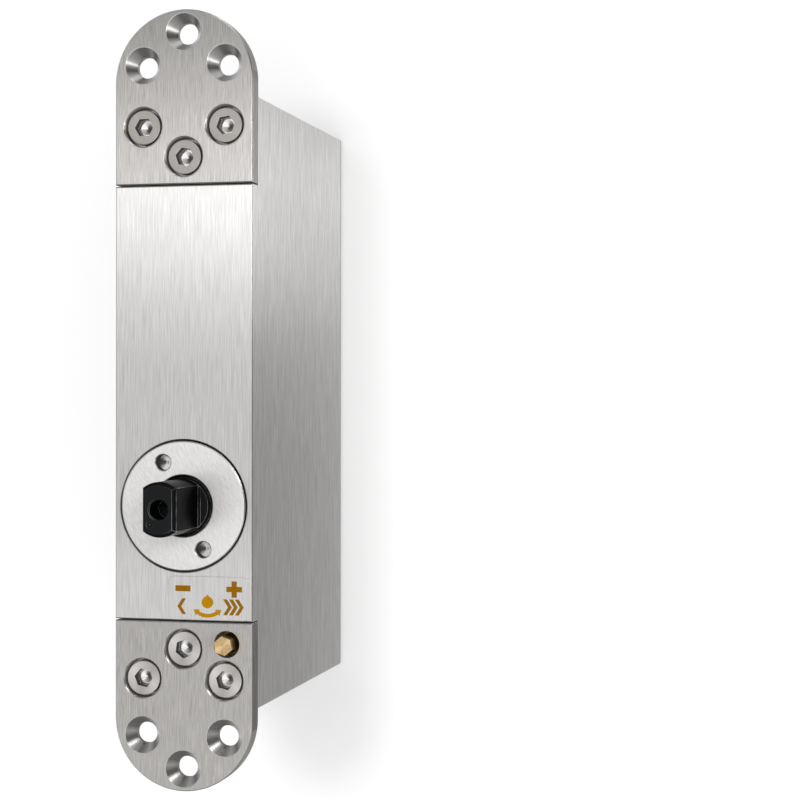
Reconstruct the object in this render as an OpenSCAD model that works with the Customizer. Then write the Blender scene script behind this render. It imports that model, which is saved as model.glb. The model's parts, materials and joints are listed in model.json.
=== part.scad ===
// Hydraulic hinge unit for a heavy door: a machined steel block that holds a damped spindle with a
// return spring, and two end plates that screw the block into a door rail.
// The origin is where the spindle axis meets the front face. +Z points out along the spindle and
// +Y runs along the block, away from the speed valve. All sizes are in millimetres.

/* [Block] */
// Width of the block
body_w = 42; // [41:0.5:50]
// Length of the block
body_l = 178; // [174:1:220]
// Depth of the block behind its front face
body_d = 101; // [100:1:120]
// Distance of the spindle axis from the middle of the block
spindle_offset = 30; // [27:0.5:32]
// Rounding of the two long back edges
back_edge_r = 0.7; // [0.3:0.1:2]
// Chamfer along the front edges of the block, plates and gland ring
edge_chamfer = 0.3; // [0.1:0.05:0.5]

/* [End plates] */
// Thickness of an end plate, equal to the depth of its seat
plate_t = 5.5; // [5:0.1:8]
// Length of the upper end plate, from its straight edge to its round tip
upper_plate_l = 50.8; // [49:0.1:60]
// Length of the lower end plate, from its straight edge to its round tip
lower_plate_l = 49.4; // [49:0.1:60]
// Length of the seat cut in the block for a plate
plate_seat_l = 25.7; // [25:0.1:28]
// Gap between a plate's straight edge and the end of its seat
seat_gap = 0.45; // [0.1:0.05:0.6]
// Distance of the side holes and the side screws from the middle line
hole_x = 12.5; // [11.5:0.1:14]
// Distance of the side holes from a plate's round tip
side_hole_inset = 16; // [15:0.1:17]
// Distance of the tip hole from a plate's round tip
tip_hole_inset = 6.5; // [6.2:0.1:7.5]
// Diameter of the mounting holes
mount_hole_d = 6.2; // [5:0.1:7]
// Diameter of their countersink at the face
csk_d = 10.8; // [9:0.1:12]
// Full angle of the countersink
csk_angle = 60; // [60:5:100]

/* [Plate screws] */
// Distance of the side screws from the end of the block
side_screw_inset = 8.4; // [8:0.1:10]
// Distance of the middle screw from the end of the block
middle_screw_inset = 17.3; // [16.5:0.1:18.5]
// Thread diameter of the plate screws
screw_d = 6; // [5:0.5:7]
// Diameter of their low heads
screw_head_d = 10; // [9:0.1:10.6]
// Height of their heads
screw_head_h = 3.4; // [3:0.1:3.8]
// Depth of a head's top below the plate's face
head_sink = 0.8; // [0:0.05:0.9]
// Length under the head
screw_l = 16; // [12:1:20]
// Hexagon socket across the flats
socket_af = 5; // [4:0.1:5.5]
// Depth of the hexagon socket
socket_depth = 2.7; // [1.5:0.1:2.8]
// Radial room round a head in its counterbore
head_room = 0.75; // [0.4:0.05:0.9]

/* [Gland ring] */
// Diameter of the gland ring
gland_d = 37.8; // [36.5:0.1:38]
// Height of its face above the front face of the block
gland_proud = 0.5; // [0:0.1:1.5]
// Depth of its foot behind the front face
gland_depth = 14.5; // [14:0.1:15]
// Radial width of the relief groove round it at the face
gland_gap = 0.35; // [0.2:0.05:0.7]
// Diameter of the two spanner holes
spanner_hole_d = 4.6; // [3:0.1:5]
// Depth of the spanner holes
spanner_hole_depth = 3.2; // [2:0.1:3.6]
// Distance of the spanner holes from the axis
spanner_r = 14; // [13:0.1:15]
// Tilt of the line through the spanner holes from the block's length
spanner_tilt = 26; // [0:1:90]

/* [Spindle] */
// Diameter of the round collar
collar_d = 17.2; // [17:0.1:19.2]
// Height of the collar above the front face
collar_proud = 1; // [0.6:0.1:3]
// Diameter of the tang over its round sides
tang_d = 15.7; // [14:0.1:16.8]
// Tang across its two flats
tang_af = 9.9; // [8:0.1:12]
// Height of the tang's tip above the front face
tang_h = 21; // [15:0.5:30]
// Chamfer at the foot of the flats
tang_foot = 0.6; // [0.2:0.1:1]
// Chamfer round the tip
tang_chamfer = 1; // [0.2:0.1:1.4]
// Diameter of the hole in the tip
tip_hole_d = 5.6; // [3:0.1:6.5]
// Depth of the hole in the tip
tip_hole_depth = 8; // [4:0.5:12]
// Diameter of the flange that rests on the thrust bearing
flange_d = 33; // [30:0.5:34]
// Thickness of the flange
flange_t = 3; // [2.5:0.1:3.5]
// Diameter of the rear journal
rear_journal_d = 12; // [9:0.5:12.5]
// Number of pinion teeth
pinion_teeth = 11; // [11:1:12]
// Pinion module
pinion_module = 1.5; // [1.3:0.05:1.5]
// Angle that the spindle turns from closed to fully open
open_angle = 120; // [60:5:130]

/* [Thrust bearing] */
// Bore of the thrust bearing
thrust_bore = 20; // [20:0.1:21]
// Outside diameter of the thrust bearing
thrust_od = 35; // [34:0.1:36]
// Thickness of one washer
washer_t = 2.5; // [2:0.1:2.8]
// Diameter of a ball
ball_d = 5.4; // [5:0.1:5.8]
// Number of balls
ball_count = 12; // [8:1:13]

/* [Cylinders] */
// Diameter of the two cylinder bores
bore_d = 30; // [29.6:0.1:30.4]
// Distance between the axes of the two bores
bore_pitch = 33.4; // [33:0.1:34]
// Metal between the thrust bearing's seat and the first bore
bore_cover = 2; // [1.5:0.1:2.4]
// Metal left at the closed end of the bores
end_wall = 12; // [9:0.5:14]
// Length of the screw plugs
plug_l = 12; // [9:0.5:16]
// Width of the ledge that a screw plug stops on
plug_ledge = 0.7; // [0.5:0.05:0.8]
// Hexagon socket of a screw plug across the flats
plug_socket_af = 12; // [8:1:14]
// Length of a piston's solid end on the damper chamber's side
piston_head_l = 10.4; // [9:0.1:11]
// Length of a piston's solid end on the spring's side
piston_tail_l = 12; // [9:0.5:16]

/* [Return spring] */
// Outside diameter of the spring
spring_od = 27.6; // [24:0.1:28.5]
// Diameter of the wire
wire_d = 4.2; // [3:0.1:5]
// Number of turns, with one closed turn at each end
spring_turns = 11; // [8:1:13]
// Thickness of the spring seat
spring_seat_t = 2.5; // [2:0.1:5]

/* [Speed valve] */
// Distance of the valve from the middle line
valve_x = 13.2; // [12.5:0.1:13.6]
// Distance of the valve from the end of the block
valve_from_end = 19; // [18.5:0.1:20]
// Hole in the lower plate for the valve's hexagon
valve_hole_d = 7.8; // [7:0.1:8]
// Hexagon of the valve across the flats
valve_hex_af = 5; // [4:0.1:5.5]
// Turn of the hexagon about its axis
valve_hex_turn = -19; // [-30:1:30]
// Height of the hexagon above the front face
valve_proud = 3.6; // [1:0.1:6]
// Diameter of the valve's stem
valve_d = 6; // [5:0.1:6.4]
// Diameter of the flange that the lower plate holds down
valve_flange_d = 9; // [8.6:0.1:9.4]

/* [Clearances] */
// Radial clearance of shafts, pistons and the valve stem
running_clear = 0.05; // [0.02:0.01:0.1]
// Radial clearance of pieces pressed or screwed together
seat_clear = 0.02; // [0.01:0.01:0.05]
// Clearance between pieces that pass without touching
free_clear = 0.6; // [0.4:0.05:0.8]

/* [Hidden] */
$fn = 64;

over = 1;                        // overshoot of cutting tools past a face
steel = [0.78, 0.78, 0.77];
bright = [0.86, 0.86, 0.85];
black = [0.10, 0.10, 0.11];
rubber = [0.06, 0.06, 0.06];
bronze = [0.72, 0.50, 0.25];
brass = [0.80, 0.62, 0.27];

// The block's ends along Y
block_mid = spindle_offset;
block_high = block_mid + body_l / 2;
block_low = block_mid - body_l / 2;

// End plates, measured from the middle of the block
plate_in = body_l / 2 - plate_seat_l + seat_gap;
upper_tip = plate_in + upper_plate_l;
lower_tip = plate_in + lower_plate_l;
plate_r = body_w / 2;
csk_depth = (csk_d - mount_hole_d) / 2 / tan(csk_angle / 2);

// Plate screws
counterbore_d = screw_head_d + 2 * head_room;
counterbore_depth = screw_head_h + head_sink;
screw_hole_d = screw_d + 0.4;    // clearance hole through the plate
screw_tip = counterbore_depth + screw_l;
upper_turns = [0, 10, 48];       // how far each hexagon socket is turned
lower_turns = [10, 13, 37];

// The stack along the spindle, as heights: gland ring, seal, bush, flange and thrust bearing
spanner_tip = spanner_hole_d / 2 * tan(30);
gland_lip = spanner_hole_depth + spanner_tip + 1.6;
seal_top = gland_proud - gland_lip;
gland_foot = -gland_depth;
seal_od = collar_d + 9;
bush_l = 5;
bush_top = gland_foot + bush_l;
flange_top = gland_foot - free_clear;
flange_foot = flange_top - flange_t;
washer_gap = ball_d - 0.4;
race_mid = flange_foot - washer_t - washer_gap / 2;
race_r = (thrust_bore + thrust_od) / 4;
race_clear = 0.05;
cage_t = 2;
thrust_seat = flange_foot - 2 * washer_t - washer_gap;
relief_depth = 2.5;
gland_bore_d = gland_d + 2 * running_clear;
thrust_hole_d = thrust_od + 2 * running_clear;

// The two bores, by the height of their axes
damper_z = thrust_seat - bore_cover - bore_d / 2;
spring_z = damper_z - bore_pitch;
bore_end = block_low + end_wall;
plug_in = block_high - plug_l;
plug_d = bore_d + 2 * plug_ledge;

// Pinion and racks
pressure_angle = 20;
pitch_r = pinion_teeth * pinion_module / 2;
tip_r = pitch_r + pinion_module;
root_r = pitch_r - 1.25 * pinion_module;
base_r = pitch_r * cos(pressure_angle);
rack_pitch = PI * pinion_module;
rack_addendum = 0.6 * pinion_module;  // short teeth, so that a small pinion needs no undercut
rack_dedendum = 1.25 * pinion_module;
backlash = 0.2;
travel = pitch_r * open_angle * PI / 180;
pinion_hole_d = thrust_bore + 2.4;
rear_bush_wall = 2;
rear_bush_top = spring_z - bore_d / 2 - 0.2;
rear_bush_l = 5;
rear_pocket = rear_bush_top - rear_bush_l;
pinion_end_gap = 0.5;
pinion_foot = rear_bush_top + 2 * pinion_end_gap;
pinion_top = thrust_seat - 2;

// Pistons at rest, with the spindle closed
piston_d = bore_d - 2 * running_clear;
window_low = -tip_r - free_clear - travel;
window_high = tip_r + free_clear;
piston_low = window_low - piston_head_l;
piston_high = window_high + piston_tail_l;
oil_hole_d = 6;
ring_w = 2.5;
ring_groove_d = piston_d - 2.6;
ring_mid = (piston_low + window_low) / 2;

// Check valve in the damper piston
check_x = -5;
check_ball_d = 4;
check_pocket_d = check_ball_d + 0.4;
check_port_d = 2;
check_seat_y = piston_low + 6.5;
check_retainer_l = 1.5;

// Return spring between the spring piston and its seat
spring_seat_in = plug_in - spring_seat_t;
spring_low = piston_high + seat_clear;
spring_high = spring_seat_in - seat_clear;
spring_r = (spring_od - wire_d) / 2;
spring_boss_d = spring_od - 2 * wire_d - 2;
spring_boss_l = 6;

// Speed valve and the drilled oil gallery beside the bores
valve_y = block_low + valve_from_end;
valve_flange_t = 1.5;
valve_flange_top = -plate_t - 0.4;
valve_flange_foot = valve_flange_top - valve_flange_t;
valve_pocket_d = valve_flange_d + free_clear;
stem_bore_d = valve_d + 2 * running_clear;
gallery_d = 2.2;
gallery_x = body_w / 2 - 3.4;
gallery_z = thrust_seat - 4;
needle_d = 3.6;
needle_tip_d = 1.4;
valve_chamber_d = 4.4;
stem_foot = gallery_z + gallery_d / 2 + 0.4;
chamber_foot = gallery_z - gallery_d / 2 - 0.3;
seat_port_d = 2;
gallery_return_y = piston_high + travel + 6;
gallery_plug_d = 3;
gallery_plug_l = 5;
gallery_plug_high = block_high - 0.4;

// Rubber rings, by the diameter of their section
gland_ring_section = 1.8;
plug_ring_section = 1.8;
valve_ring_section = 1.1;
gland_groove_z = gland_foot + 2;
plug_groove_y = plug_in + 3;
valve_groove_z = valve_flange_foot - 5;

// A cylinder along Z between two heights
module post(d, low, high) {
    translate([0, 0, low]) cylinder(d = d, h = high - low);
}

// A cylinder along Y between two places
module bar(d, low, high) {
    translate([0, low, 0]) rotate([-90, 0, 0]) cylinder(d = d, h = high - low);
}

// A round tube along Z between two heights
module tube(od, id, low, high) {
    rotate_extrude() translate([id / 2, low]) square([(od - id) / 2, high - low]);
}

// A hexagonal prism along Z, by its size across the flats
module hexagon(af, low, high) {
    translate([0, 0, low]) cylinder(d = af / cos(30), h = high - low, $fn = 6);
}

// A chamfer cutter for a straight edge along X, centred on the edge
module edge_cutter(length, size) {
    rotate([45, 0, 0]) cube([length, size * sqrt(2), size * sqrt(2)], center = true);
}

// A chamfer cutter for the rim of a round hole in a face at height 0
module rim_chamfer(d) {
    translate([0, 0, -edge_chamfer])
        cylinder(d1 = d, d2 = d + 2 * (edge_chamfer + over), h = edge_chamfer + over);
}

// Places its children at the upper (+1) or lower (-1) end, measured from the block's middle
module at_end(side) {
    translate([0, block_mid, 0]) {
        if (side > 0) children();
        else mirror([0, 1, 0]) children();
    }
}

// Two places beside the middle line and one on it, by their distances from the block's middle
function three_places(side_y, middle_y) = [[-hole_x, side_y], [hole_x, side_y], [0, middle_y]];
function screw_places() = three_places(body_l / 2 - side_screw_inset, body_l / 2 - middle_screw_inset);
function hole_places(tip) = three_places(tip - side_hole_inset, tip - tip_hole_inset);

// Moves its children to the axis of the damper bore or of the spring bore
module on_damper_axis() {
    translate([0, 0, damper_z]) children();
}

module on_spring_axis() {
    translate([0, 0, spring_z]) children();
}

module on_valve_axis() {
    translate([valve_x, valve_y, 0]) children();
}

// Outline of the block across its length: two rounded back corners, two chamfered front edges
module block_section() {
    difference() {
        translate([-body_w / 2, -body_d]) square([body_w, body_d]);
        for (side = [0, 1]) mirror([side, 0]) {
            translate([body_w / 2 - back_edge_r, -body_d + back_edge_r]) difference() {
                translate([0, -back_edge_r - over]) square(back_edge_r + over);
                circle(r = back_edge_r);
            }
            translate([body_w / 2, 0]) rotate(45) square(edge_chamfer * sqrt(2), center = true);
        }
    }
}

module plate_seat() {
    edge = body_l / 2 - plate_seat_l;
    translate([-body_w / 2 - over, edge, -plate_t])
        cube([body_w + 2 * over, plate_seat_l + over, plate_t + over]);
    translate([0, edge, 0]) edge_cutter(body_w + 2 * over, edge_chamfer);
}

module plate_screw_threads() {
    for (place = screw_places()) translate([place[0], place[1], 0])
        post(screw_d, -screw_tip - 2, 0);
}

// The stepped hole for the spindle: relief, gland thread, thrust bearing, pinion and rear bush
module spindle_bore() {
    post(gland_d + 2 * gland_gap, -relief_depth, over);
    rim_chamfer(gland_d + 2 * gland_gap);
    post(gland_bore_d, gland_foot, over);
    post(thrust_hole_d, thrust_seat, over);
    post(pinion_hole_d, pinion_foot - pinion_end_gap, 0);
    post(rear_journal_d + 2 * rear_bush_wall + 2 * seat_clear, rear_pocket, spring_z);
}

module cylinder_bore() {
    bar(bore_d, bore_end, block_high + over);
    bar(plug_d + 2 * seat_clear, plug_in, block_high + over);
}

// The valve's stepped bore, and the gallery that takes the oil back past the damper piston
module oil_passages() {
    on_valve_axis() {
        post(valve_pocket_d, valve_flange_foot - 0.3, 0);
        post(stem_bore_d, stem_foot - 0.3, 0);
        post(valve_chamber_d, chamber_foot, 0);
        post(seat_port_d, damper_z, 0);
    }
    translate([gallery_x, 0, gallery_z]) {
        bar(gallery_d, valve_y, block_high + over);
        bar(gallery_plug_d + 2 * seat_clear, gallery_plug_high - gallery_plug_l, block_high + over);
        translate([0, valve_y, 0]) rotate([0, -90, 0]) cylinder(d = gallery_d, h = gallery_x - valve_x);
        translate([0, gallery_return_y, 0])
            rotate([0, -90 - atan2(gallery_z - damper_z, gallery_x), 0])
            cylinder(d = gallery_d, h = gallery_x / 2);
    }
}

module body_block() {
    color(steel) difference() {
        translate([0, block_high, 0]) rotate([90, 0, 0]) linear_extrude(body_l) block_section();
        for (side = [-1, 1]) at_end(side) {
            plate_seat();
            plate_screw_threads();
        }
        spindle_bore();
        on_damper_axis() cylinder_bore();
        on_spring_axis() cylinder_bore();
        oil_passages();
    }
}

// Outline of a plate across its length, with chamfered front edges
module plate_section() {
    polygon([
        [-plate_r, -plate_t], [plate_r, -plate_t], [plate_r, -edge_chamfer],
        [plate_r - edge_chamfer, 0], [edge_chamfer - plate_r, 0], [-plate_r, -edge_chamfer]
    ]);
}

// A bar with a round end, in one thickness
module plate_blank(tip) {
    bend = tip - plate_r;
    translate([0, bend, 0]) {
        rotate([90, 0, 0]) linear_extrude(bend - plate_in) plate_section();
        rotate_extrude(angle = 180) intersection() {
            plate_section();
            translate([0, -plate_t]) square(plate_r + plate_t);
        }
    }
}

module countersunk_hole() {
    slope = tan(csk_angle / 2);
    post(mount_hole_d, -plate_t - over, over);
    translate([0, 0, -csk_depth])
        cylinder(d1 = mount_hole_d, d2 = csk_d + 2 * over * slope, h = csk_depth + over);
}

module counterbored_hole() {
    post(screw_hole_d, -plate_t - over, over);
    post(counterbore_d, -counterbore_depth, over);
    rim_chamfer(counterbore_d);
}

// An end plate, by the distance of its round tip from the block's middle
module end_plate(tip) {
    difference() {
        plate_blank(tip);
        translate([0, plate_in, 0]) edge_cutter(body_w + 2 * over, edge_chamfer);
        for (place = hole_places(tip)) translate([place[0], place[1], 0]) countersunk_hole();
        for (place = screw_places()) translate([place[0], place[1], 0]) counterbored_hole();
    }
}

module upper_end_plate() {
    color(steel) at_end(1) end_plate(upper_tip);
}

module lower_end_plate() {
    color(steel) difference() {
        at_end(-1) end_plate(lower_tip);
        on_valve_axis() post(valve_hole_d, -plate_t - over, over);
    }
}

// A low-head socket screw with its underside at the counterbore's floor
module plate_screw(turn) {
    head_r = screw_head_d / 2;
    stem_r = screw_d / 2 - running_clear;
    tip_chamfer = 0.8;
    head_chamfer = 0.15;
    socket_foot = -head_sink - socket_depth;
    drill_point = 0.6;
    difference() {
        rotate_extrude() polygon([
            [0, -screw_tip], [stem_r - tip_chamfer, -screw_tip], [stem_r, tip_chamfer - screw_tip],
            [stem_r, -counterbore_depth], [head_r, -counterbore_depth], [head_r, -head_sink - head_chamfer],
            [head_r - head_chamfer, -head_sink], [0, -head_sink]
        ]);
        rotate(turn) hexagon(socket_af, socket_foot, over);
        translate([0, 0, socket_foot - drill_point]) cylinder(d1 = 0.4, d2 = socket_af - 0.4, h = drill_point + 0.2);
    }
}

module plate_screw_set(turns) {
    places = screw_places();
    for (i = [0 : len(places) - 1])
        translate([places[i][0], places[i][1], 0]) plate_screw(turns[i]);
}

module upper_plate_screws() {
    color(bright) at_end(1) plate_screw_set(upper_turns);
}

module lower_plate_screws() {
    color(bright) at_end(-1) plate_screw_set(lower_turns);
}

// Section of the gland ring: front lip, seat for seal and bush, groove for the rubber ring
module gland_section() {
    r = gland_d / 2;
    bore_r = collar_d / 2 + free_clear / 2;
    seat_r = seal_od / 2 + seat_clear;
    groove_r = gland_bore_d / 2 - gland_ring_section - seat_clear;
    groove_half = gland_ring_section / 2 + 0.2;
    polygon([
        [bore_r, gland_proud - edge_chamfer], [bore_r + edge_chamfer, gland_proud],
        [r - edge_chamfer, gland_proud], [r, gland_proud - edge_chamfer],
        [r, gland_groove_z + groove_half], [groove_r, gland_groove_z + groove_half],
        [groove_r, gland_groove_z - groove_half], [r, gland_groove_z - groove_half],
        [r, gland_foot], [seat_r, gland_foot], [seat_r, seal_top], [bore_r, seal_top]
    ]);
}

// A drilled blind hole for a pin spanner
module spanner_hole() {
    translate([0, 0, gland_proud - spanner_hole_depth]) {
        cylinder(d = spanner_hole_d, h = spanner_hole_depth + over);
        translate([0, 0, -spanner_tip]) cylinder(d1 = 0, d2 = spanner_hole_d, h = spanner_tip);
    }
    translate([0, 0, gland_proud]) rim_chamfer(spanner_hole_d);
}

module gland_ring() {
    color(bright) difference() {
        rotate_extrude() gland_section();
        for (turn = [0, 180]) rotate(spanner_tilt + turn) translate([0, spanner_r, 0]) spanner_hole();
    }
}

module gland_o_ring() {
    color(rubber) translate([0, 0, gland_groove_z]) rotate_extrude()
        translate([gland_bore_d / 2 - gland_ring_section / 2 - seat_clear, 0])
        circle(d = gland_ring_section - seat_clear);
}

module shaft_seal() {
    color(rubber) tube(seal_od, collar_d + 2 * running_clear, bush_top + 0.2, seal_top - seat_clear);
}

module front_bush() {
    color(bronze) tube(seal_od, collar_d + 2 * running_clear, gland_foot, bush_top);
}

// Half width of a pinion tooth, as an angle, at a distance from the axis
function roll_at(r) = sqrt(pow(max(r / base_r, 1), 2) - 1) * 180 / PI;
function involute_at(r) = roll_at(r) - atan(roll_at(r) * PI / 180);
function tooth_half(r) =
    (rack_pitch - 2 * backlash) / 4 / pitch_r * 180 / PI + involute_at(pitch_r) - involute_at(r);

// Outline of the pinion: each tooth has a radial root and an involute flank
module pinion_outline() {
    flank_steps = 6;
    flank = [for (i = [0 : flank_steps]) base_r + (tip_r - base_r) * i / flank_steps];
    radii = concat([root_r], flank);
    count = len(radii);
    polygon([
        for (tooth = [0 : pinion_teeth - 1])
            for (i = [0 : 2 * count - 1])
                let (
                    r = i < count ? radii[i] : radii[2 * count - 1 - i],
                    side = i < count ? -1 : 1,
                    a = tooth * 360 / pinion_teeth + side * tooth_half(r)
                )
                [r * cos(a), r * sin(a)]
    ]);
}

// The turned part of the spindle, from the rear journal up to the collar
module spindle_section() {
    collar_r = collar_d / 2;
    shaft_r = thrust_bore / 2 - seat_clear;
    rear_r = rear_journal_d / 2;
    collar_chamfer = 0.8;
    polygon([
        [0, rear_pocket + 0.4], [rear_r, rear_pocket + 0.4], [rear_r, pinion_foot], [root_r, pinion_foot],
        [root_r, pinion_top], [shaft_r, pinion_top], [shaft_r, flange_foot], [flange_d / 2, flange_foot],
        [flange_d / 2, flange_top], [collar_r, flange_top], [collar_r, collar_proud - collar_chamfer],
        [collar_r - collar_chamfer, collar_proud], [0, collar_proud]
    ]);
}

// The double-D tang, chamfered round its tip and at the foot of its flats
module tang() {
    tang_r = tang_d / 2;
    flat = tang_af / 2;
    intersection() {
        rotate_extrude() polygon([
            [0, 0], [tang_r, 0], [tang_r, tang_h - tang_chamfer], [tang_r - tang_chamfer, tang_h], [0, tang_h]
        ]);
        rotate([90, 0, 0]) linear_extrude(tang_d + 2 * over, center = true) polygon([
            [-flat - tang_foot, 0], [flat + tang_foot, 0],
            [flat + tang_foot, collar_proud], [flat, collar_proud + tang_foot],
            [flat, tang_h - tang_chamfer], [flat - tang_chamfer, tang_h],
            [tang_chamfer - flat, tang_h], [-flat, tang_h - tang_chamfer],
            [-flat, collar_proud + tang_foot], [-flat - tang_foot, collar_proud]
        ]);
    }
}

module spindle() {
    dimple_d = 1.8;
    dimple_y = -4.2;
    dimple_x = -2.7;
    color(black) difference() {
        union() {
            rotate_extrude() spindle_section();
            translate([0, 0, pinion_foot]) linear_extrude(pinion_top - pinion_foot) pinion_outline();
            tang();
        }
        post(tip_hole_d, tang_h - tip_hole_depth, tang_h + over);
        translate([0, 0, tang_h]) rim_chamfer(tip_hole_d);
        translate([0, 0, tang_h - tip_hole_depth - tip_hole_d / 4])
            cylinder(d1 = 0, d2 = tip_hole_d, h = tip_hole_d / 4 + 0.001);
        translate([dimple_x, dimple_y, tang_h - dimple_d / 3])
            cylinder(d1 = 0, d2 = 2 * dimple_d, h = dimple_d * 2 / 3);
    }
}

// A thrust washer with a ball race in the face that looks at the balls
module race_washer(od, id, low) {
    difference() {
        tube(od, id, low, low + washer_t);
        translate([0, 0, race_mid]) rotate_extrude()
            translate([race_r, 0]) circle(d = ball_d + 2 * race_clear);
    }
}

module thrust_shaft_washer() {
    color(bright) race_washer(thrust_od - 0.8, thrust_bore + 2 * seat_clear, flange_foot - washer_t);
}

module thrust_housing_washer() {
    color(bright) race_washer(thrust_od, thrust_bore + 1, thrust_seat);
}

module at_each_ball() {
    for (i = [0 : ball_count - 1]) rotate(i * 360 / ball_count) translate([race_r, 0, race_mid]) children();
}

module thrust_balls() {
    color(bright) at_each_ball() sphere(d = ball_d);
}

module thrust_cage() {
    color(bronze) difference() {
        tube(thrust_od - 2, thrust_bore + 1.6, race_mid - cage_t / 2, race_mid + cage_t / 2);
        at_each_ball() cylinder(d = ball_d + 0.2, h = cage_t + 2 * over, center = true);
    }
}

module rear_bush() {
    color(bronze) tube(
        rear_journal_d + 2 * rear_bush_wall, rear_journal_d + 2 * running_clear, rear_pocket, rear_bush_top);
}

// The slot through a piston for the pinion, with the rack along its +X side
module rack_window() {
    slope = tan(pressure_angle);
    tip_x = pitch_r - rack_addendum;
    root_x = pitch_r + rack_dedendum;
    tip_half = rack_pitch / 4 + rack_addendum * slope;
    root_half = rack_pitch / 4 - rack_dedendum * slope;
    land = 0.3;
    first = ceil((window_low + tip_half + land) / rack_pitch);
    last = floor((window_high - tip_half - land) / rack_pitch);
    outline = concat(
        [[-tip_r - free_clear, window_low], [tip_x, window_low]],
        [for (i = [first : last], corner = [
            [tip_x, -tip_half], [root_x, -root_half], [root_x, root_half], [tip_x, tip_half]
        ]) [corner[0], corner[1] + i * rack_pitch]],
        [[tip_x, window_high], [-tip_r - free_clear, window_high]]
    );
    linear_extrude(bore_d, center = true) polygon(outline);
}

// A rack piston: a rod with the pinion window and an oil hole in its spring end
module rack_piston() {
    difference() {
        bar(piston_d, piston_low, piston_high);
        rack_window();
        bar(oil_hole_d, window_high - over, piston_high + over);
    }
}

module damper_piston() {
    color(steel) on_damper_axis() difference() {
        rack_piston();
        rotate([-90, 0, 0]) tube(bore_d + over, ring_groove_d, ring_mid - ring_w / 2, ring_mid + ring_w / 2);
        translate([check_x, 0, 0]) {
            bar(check_pocket_d, piston_low - over, check_seat_y);
            bar(check_port_d, piston_low, window_low + over);
        }
    }
}

module damper_piston_ring() {
    color(bronze) on_damper_axis() rotate([-90, 0, 0]) tube(
        bore_d - running_clear, ring_groove_d + 2 * seat_clear,
        ring_mid - ring_w / 2 + seat_clear, ring_mid + ring_w / 2 - seat_clear);
}

module check_ball() {
    color(bright) on_damper_axis()
        translate([check_x, check_seat_y - check_ball_d / 2 - seat_clear, 0]) sphere(d = check_ball_d);
}

module check_retainer() {
    color(brass) on_damper_axis() translate([check_x, 0, 0]) rotate([-90, 0, 0])
        tube(check_pocket_d - 2 * seat_clear, check_port_d, piston_low, piston_low + check_retainer_l);
}

module spring_piston() {
    color(steel) on_spring_axis() {
        difference() {
            union() {
                rack_piston();
                bar(spring_boss_d, piston_high - over, piston_high + spring_boss_l);
            }
            bar(oil_hole_d, window_high - over, piston_high + spring_boss_l + over);
        }
    }
}

// Height of the spring's centre line after a number of turns, with a closed turn at each end
function spring_rise(turns) =
    let (
        length = spring_high - spring_low - wire_d,
        open_pitch = (length - 2 * wire_d) / (spring_turns - 2)
    )
    turns < 1 ? turns * wire_d
    : turns > spring_turns - 1 ? length - (spring_turns - turns) * wire_d
    : wire_d + (turns - 1) * open_pitch;

// The wire swept along its helix, one ring of corners at each step
module return_spring() {
    steps = 20;
    sides = 8;
    last = spring_turns * steps;
    corners = [
        for (i = [0 : last], j = [0 : sides - 1])
            let (
                a = i * 360 / steps,
                b = j * 360 / sides,
                r = spring_r + wire_d / 2 * cos(b)
            )
            [r * cos(a), spring_low + spring_rise(i / steps) + wire_d / 2 * (1 + sin(b)), r * sin(a)]
    ];
    walls = [
        for (i = [0 : last - 1], j = [0 : sides - 1])
            let (k = (j + 1) % sides)
            [i * sides + j, i * sides + k, (i + 1) * sides + k, (i + 1) * sides + j]
    ];
    ends = [
        [for (j = [sides - 1 : -1 : 0]) j],
        [for (j = [0 : sides - 1]) last * sides + j]
    ];
    color(steel) on_spring_axis()
        polyhedron(points = corners, faces = concat(ends, walls), convexity = 10);
}

module spring_seat() {
    color(steel) on_spring_axis() difference() {
        union() {
            bar(bore_d - 1, spring_seat_in, plug_in);
            bar(spring_boss_d, spring_seat_in - spring_boss_l / 2, spring_seat_in + over);
        }
        bar(oil_hole_d, spring_seat_in - spring_boss_l, plug_in + over);
    }
}

// A screw plug with a hexagon socket in its outer face and a groove for a rubber ring
module bore_plug() {
    groove_half = plug_ring_section / 2 + 0.2;
    socket_l = plug_l / 2;
    difference() {
        bar(plug_d, plug_in, block_high);
        translate([0, block_high - socket_l, 0]) rotate([-90, 0, 0])
            hexagon(plug_socket_af, 0, socket_l + over);
        translate([0, plug_groove_y, 0]) rotate([-90, 0, 0])
            tube(plug_d + over, plug_d - 2 * plug_ring_section, -groove_half, groove_half);
    }
}

module plug_o_ring() {
    translate([0, plug_groove_y, 0]) rotate([-90, 0, 0]) rotate_extrude()
        translate([plug_d / 2 - plug_ring_section / 2, 0]) circle(d = plug_ring_section - seat_clear);
}

module damper_bore_plug() {
    color(steel) on_damper_axis() bore_plug();
}

module spring_bore_plug() {
    color(steel) on_spring_axis() bore_plug();
}

module damper_plug_o_ring() {
    color(rubber) on_damper_axis() plug_o_ring();
}

module spring_plug_o_ring() {
    color(rubber) on_spring_axis() plug_o_ring();
}

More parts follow.
